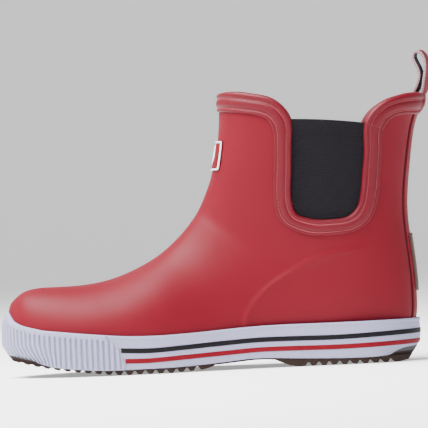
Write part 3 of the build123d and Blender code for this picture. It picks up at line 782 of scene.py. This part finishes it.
def stripe(name, line, height, material):
    """One inlaid line, from the toe strip's end around the heel and back. line is its top edge."""
    _, x, y, ox, oy = walk(0.8)
    keep = x > np.interp(read(line, x) - height / 2, *np.array(BUMPER_END).T) - 0.5
    first = np.argmax(keep)
    x, y, ox, oy = (a[first:][keep[first:]] for a in (x, y, ox, oy))
    level = read(line, x)
    rows = []
    upper_half = [(-0.5, 0.0), (0.2, 0.0), (0.38, 0.25), (0.42, 0.7)]
    profile = [(grow, -drop) for grow, drop in upper_half]
    profile += [(grow, drop - height) for grow, drop in upper_half[::-1]]
    for grow, rise in profile:
        rows.append(on_wall(x, y, ox, oy, grow, level + rise))
    rows = np.array(rows)[::-1]
    return mesh(name, rows, grid_faces(*rows.shape[:2]), material)


wall_piece = side_wall()
bumper_piece = bumper()
dark_stripe = stripe("stripe_dark_line", DARK_LINE, 3.0, black_rubber)
red_stripe = stripe("stripe_red_line", RED_LINE, 2.9, stripe_rubber)
for piece, node, slot in (
    (wall_piece, "foxing", "white_rubber"),
    (bumper_piece, "toe_bumper", "white_rubber"),
    (dark_stripe, "stripe_dark", "black_rubber"),
    (red_stripe, "stripe_red", "stripe_rubber"),
):
    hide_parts(node)


# Heel strip, reflector and badge: plaques laid on the surface
def plaque(name, material, middle_z, shape, profile, from_x):
    """A flat piece pressed on the surface, seen along X. shape gives y and z around its outline."""
    way = (-math.copysign(1, from_x), 0, 0)
    rows = []
    for share, h in profile:
        row = []
        for y, z in shape:
            spot, out = base.shot((from_x, y * share, middle_z + z * share), way)
            row.append(spot + out * h)
        rows.append(row)
    rows = np.array(rows)
    return mesh(name, rows, grid_faces(*rows.shape[:2], wrap_m=True), material, flip=from_x > 0)


def rounded(width, height, corner, count=16):
    """Outline of a rectangle with rounded corners, anticlockwise."""
    points = []
    for q, (sy, sz) in enumerate(((1, 1), (-1, 1), (-1, -1), (1, -1))):
        middle_y, middle_z = sy * (width / 2 - corner), sz * (height / 2 - corner)
        for i in range(count):
            angle = math.pi / 2 * (q + i / (count - 1))
            points.append((middle_y + corner * math.cos(angle), middle_z + corner * math.sin(angle)))
    dense = []
    for a, b in zip(points, points[1:] + points[:1]):
        parts = max(1, int(math.dist(a, b) / 1.2))
        dense += [(a[0] + (b[0] - a[0]) * i / parts, a[1] + (b[1] - a[1]) * i / parts) for i in range(parts)]
    return dense


def raindrop(size):
    """Outline of a raindrop, pointed at the top."""
    points = []
    for i in range(64):
        angle = 2 * math.pi * i / 64 - math.pi / 2
        lift = max(0.0, math.sin(angle))
        y = size * 0.72 * math.cos(angle) * (1 - 0.75 * lift**1.5)
        z = size * (math.sin(angle) * 0.85 + 0.45 * lift**4) - 0.3
        points.append((y, z))
    return points


# Sections of the plaques: share of the outline, and height over the upper.
PLATE_FLAT = [(0.0, 0.6), (0.4, 0.6), (0.86, 0.6), (0.9, 0.7)]
PLATE_FLAT += [(0.915, 1.2), (0.935, 1.35), (0.97, 1.35), (0.99, 1.2)]
PLATE_RIM = [(1.0, 0.8), (1.0, -0.3)]
FIELD_PROFILE = [(0.0, 0.95), (0.3, 0.95), (0.6, 0.95), (0.95, 0.95), (0.99, 0.85), (1.0, 0.4)]
EMBLEM_PROFILE = [(0.0, 1.5), (0.5, 1.5), (0.85, 1.45), (0.96, 1.3), (1.0, 0.9)]
PATCH_PROFILE = [(0.0, 2.2), (0.3, 2.2), (0.6, 2.2), (0.8, 2.2), (0.84, 2.2), (0.87, 1.9)]
PATCH_PROFILE += [(0.9, 2.3), (0.96, 2.3), (0.99, 2.0), (1.0, 1.6), (1.0, 0.4)]
FRONT, BACK = -300.0, 300.0  # where the plaques are pressed on from
BADGE_Z, PATCH_Z = 132.3, 61.0
plate_shape = rounded(27, 18, 1.2)
plate = plaque("badge_plate_frame", badge_white, BADGE_Z, plate_shape, PLATE_FLAT + PLATE_RIM, FRONT)
# The plate's side wall takes the painted shade colour: a painted shadow line round the white frame.
plate.data.materials.append(painted_shade_red)
rim = np.arange(len(plate.data.polygons)) >= len(PLATE_FLAT) * len(plate_shape)
plate.data.polygons.foreach_set("material_index", rim.astype(np.int32))
field = plaque("badge_field_panel", badge_red, BADGE_Z, rounded(24.4, 15.6, 0.7), FIELD_PROFILE, FRONT)
emblem = plaque("badge_emblem_drop", badge_white, BADGE_Z, raindrop(5.6), EMBLEM_PROFILE, FRONT)
patch = plaque("heel_reflector_patch", reflector, PATCH_Z, rounded(16, 36, 2.0), PATCH_PROFILE, BACK)
for piece, node, slot in (
    (plate, "badge_plate", "white_rubber"),
    (field, "badge_field", "badge_red"),
    (emblem, "badge_emblem", "white_rubber"),
    (patch, "heel_reflector", "reflector"),
):
    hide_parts(node)


def back_strip():
    """The strip up the heel, with a beaded edge and, on each side, a low ledge painted dark as the shadow
    line along its edge.
    """
    # The low flat ledge at each side of the strip is painted in the dark shade colour: a painted shadow line
    # along the strip's edge.
    sunk_line = [(-13.3, -0.2), (-13.2, 0.06), (-12.1, 0.08), (-12.0, 0.4)]
    bead_edge = [(-11.8, 0.75), (-11.4, 0.85), (-10.9, 0.9), (-10.2, 0.65), (-9.6, 0.6)]
    side = sunk_line + bead_edge
    across = side + [(y, 0.75) for y in np.linspace(-8.5, 8.5, 18)] + [(-y, h) for y, h in side[::-1]]
    rows = []
    for z in np.linspace(24.5, 155.5, 130):
        row = []
        for y, h in across:
            spot, out = base.shot((BACK, y, z), (-1, 0, 0))
            row.append(spot + out * h)
        rows.append(row)
    rows = np.array(rows)
    faces = grid_faces(*rows.shape[:2])
    piece = mesh("heel_strip_band", rows, faces, red_rubber)
    # Second slot: the painted shade for the shadow lines at the strip's edges.
    piece.data.materials.append(painted_shade_red)
    column = faces[:, 0] % len(across)
    in_painted_shade = (column < len(sunk_line) - 1) | (column > len(across) - len(sunk_line) - 1)
    piece.data.polygons.foreach_set("material_index", in_painted_shade.astype(np.int32))
    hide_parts("heel_strip")


back_strip()


# Pull loop: one strap, sewn to the collar at both ends
STRAP_HALF_WIDTH, STRAP_HALF_THICKNESS = 5.0, 0.85
STRAP_SELVEDGE = 0.92  # share of the half width where the pale edge starts


def strap_ring():
    """The strap's section as shares of its half width and half thickness."""
    top = [(-1, 0.0), (-0.97, 0.75), (-0.9, 1.0), (-0.75, 0.86), (-0.7, 0.95), (-0.35, 1.0), (0.0, 1.0)]
    top += [(-y, t) for y, t in top[-2::-1]]
    return top + [(y, -t) for y, t in top[-2:0:-1]]


def pull_loop():
    """The webbing loop, which leans a little. It is red outside, dark inside and pale at its edges."""
    centre = spline(np.array(STRAP_LINE), np.linspace(0, 1, 150))
    run = np.gradient(centre, axis=0)
    run /= np.linalg.norm(run, axis=1, keepdims=True)
    out = np.stack([-run[:, 1], run[:, 0]], axis=1)
    ring = strap_ring()
    rows = []
    for spot, way in zip(centre, out):
        lean = 2.1 * ease((spot[1] - 161) / 8) - 0.75 * ease((spot[1] - 172) / 9)
        row = []
        for y, t in ring:
            px, pz = spot + way * t * STRAP_HALF_THICKNESS
            row.append((px + lean * y, STRAP_HALF_WIDTH * y, pz + 0.25 * lean * y))
        rows.append(row)
    rows = np.array(rows)
    faces = grid_faces(*rows.shape[:2], wrap_m=True)
    piece = mesh("pull_loop_strap", rows, faces, strap_red, body=None)
    for material in (strap_pale, strap_dark):
        piece.data.materials.append(material)
    column = faces[:, 0] % len(ring)
    index = np.zeros(len(faces), int)
    for k in range(len(ring)):
        y = (ring[k][0] + ring[(k + 1) % len(ring)][0]) / 2
        t = (ring[k][1] + ring[(k + 1) % len(ring)][1]) / 2
        if abs(y) > STRAP_SELVEDGE:
            index[column == k] = 1
        elif t < 0:
            index[column == k] = 2
    piece.data.polygons.foreach_set("material_index", index.astype(np.int32))
    piece.data.update()
    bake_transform(piece)
    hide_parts("pull_loop", "pull_loop_end_inner", "pull_loop_end_outer")


pull_loop()


# Footbed
FOOTBED_INSET = 4.9  # from the upper's outer skin
FOOTBED_MIDDLE = [(-133, -5.0), (-114, -2.8), (-86, -1.2), (-56, 0.0), (-28, 1.0), (5, 2.0), (130, 0.0)]
# The lower half of its section: share of the half width, and height over the board.
FOOTBED_SIDE = [(0.4, 0.15), (0.97, 0.15), (1.0, 1.2), (1.0, 3.4)]


def footbed():
    """The loose insole: a flat underside, rounded edges and a slightly dished cloth top."""
    inner = Base(skin(FOOTBED_INSET, 140, 120))
    rows = []
    for x in np.linspace(-123.5, 110.5, 120):
        level = float(read(INSOLE_LINE, np.array([x]))[0])
        mid = float(np.interp(x, *np.array(FOOTBED_MIDDLE).T))
        edges = []
        for sign in (-1, 1):
            spot, *_ = inner.tree.ray_cast(Vector((x, mid, level + 3.0)), Vector((0, sign, 0)))
            edges.append(spot[1] if spot else mid + 3 * sign)
        row = [(x, mid + (edges[0] - mid) * share, level + h) for share, h in FOOTBED_SIDE]
        for t in np.linspace(-0.985, 0.985, 33):
            edge = edges[0] if t < 0 else edges[1]
            rounding = max(0.0, (abs(t) - 0.9) / 0.1) ** 2
            row.append((x, mid + (edge - mid) * abs(t), level + 4.45 + 0.7 * abs(t) ** 3 - 0.35 * rounding))
        row += [(x, mid + (edges[1] - mid) * share, level + h) for share, h in FOOTBED_SIDE[::-1]]
        rows.append(row)
    rows = np.array(rows)
    faces = grid_faces(*rows.shape[:2], wrap_m=True)
    piece = mesh("footbed_insole", rows, faces, footbed_cloth, body="footbed")
    closing = bmesh.new()
    closing.from_mesh(piece.data)
    bmesh.ops.holes_fill(closing, edges=closing.edges, sides=0)
    bmesh.ops.recalc_face_normals(closing, faces=closing.faces)
    closing.to_mesh(piece.data)
    closing.free()
    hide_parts("footbed_foam", "footbed_cover")


footbed()

for name, material in (
    ("lining", lining_cloth),
    ("heel_counter", hard_rubber),
    ("toe_puff", hard_rubber),
    ("outsole", sole_rubber),
    ("midsole_filler", sponge),
    ("insole_board", board),
):
    lay(name, material)

# Floor, backdrop, lights and camera, in metres
FLOOR_RADIUS, COVE_RADIUS, WALL_HEIGHT = 4.5, 2.0, 4.5
FLOOR_DROP = 0.0002  # keeps the floor just clear of the sole


def studio():
    """A round pale floor that curves up into a wall, the same from every side."""
    pale = Shader("studio", (0.93, 0.93, 0.94, 1.0), 0.9, 0.1)
    pale.shader.inputs["Emission Color"].default_value = (1.0, 1.0, 1.0, 1.0)
    pale.shader.inputs["Emission Strength"].default_value = 0.38
    profile = [(0.0, 0.0), (1.0, 0.0), (FLOOR_RADIUS, 0.0)]
    for a in np.linspace(0.1, math.pi / 2, 12):
        profile.append((FLOOR_RADIUS + COVE_RADIUS * math.sin(a), COVE_RADIUS - COVE_RADIUS * math.cos(a)))
    profile.append((FLOOR_RADIUS + COVE_RADIUS, WALL_HEIGHT))
    angles = 2 * np.pi * np.arange(96) / 96
    rings = [[(r * math.cos(a), r * math.sin(a), z - FLOOR_DROP) for a in angles] for r, z in profile]
    rows = np.array(rings)
    faces = grid_faces(*rows.shape[:2], wrap_m=True)
    data = bpy.data.meshes.new("studio_sweep")
    data.from_pydata(rows.reshape(-1, 3).tolist(), [], faces.tolist())
    data.polygons.foreach_set("use_smooth", np.ones(len(data.polygons), bool))
    data.materials.append(pale.material)
    sweep = bpy.data.objects.new("studio_sweep", data)
    bpy.context.scene.collection.objects.link(sweep)


def softbox(name, place, aim, size, power):
    """A white area light."""
    data = bpy.data.lights.new(name, "AREA")
    data.shape = "RECTANGLE"
    data.size, data.size_y = size
    data.energy = power
    lamp = bpy.data.objects.new(name, data)
    lamp.location = place
    lamp.rotation_mode = "QUATERNION"
    lamp.rotation_quaternion = (Vector(aim) - Vector(place)).to_track_quat("-Z", "Y")
    bpy.context.scene.collection.objects.link(lamp)


studio()
softbox("softbox_top", place=(-0.65, -0.25, 1.4), aim=(-0.04, 0, 0.06), size=(1.5, 1.1), power=142.0)
softbox("softbox_front_left", place=(-1.5, -0.5, 0.8), aim=(0, 0, 0.08), size=(0.7, 0.7), power=3.0)
softbox("softbox_right", place=(1.4, -0.7, 0.6), aim=(0, 0, 0.1), size=(0.6, 0.8), power=2.0)

world = bpy.data.worlds.new("studio_world")
world.use_nodes = True
world.node_tree.nodes["Background"].inputs["Color"].default_value = (1.0, 1.0, 1.0, 1.0)
world.node_tree.nodes["Background"].inputs["Strength"].default_value = 0.05
bpy.context.scene.world = world

# The camera looks level along +Y, turned a little about its own axis.
CAMERA_PLACE = (-0.0009, -2.5, 0.0963)
CAMERA_ROLL = math.radians(-2.6)
camera_data = bpy.data.cameras.new("camera")
camera_data.sensor_width = 36.0
camera_data.lens = 336.4
camera_data.clip_start, camera_data.clip_end = 0.1, 60.0
camera = bpy.data.objects.new("camera", camera_data)
camera.location = CAMERA_PLACE
camera.rotation_mode = "QUATERNION"
upright = Matrix.Rotation(math.radians(90), 4, "X")
camera.rotation_quaternion = (upright @ Matrix.Rotation(CAMERA_ROLL, 4, "Z")).to_quaternion()
bpy.context.scene.collection.objects.link(camera)
bpy.context.scene.camera = camera
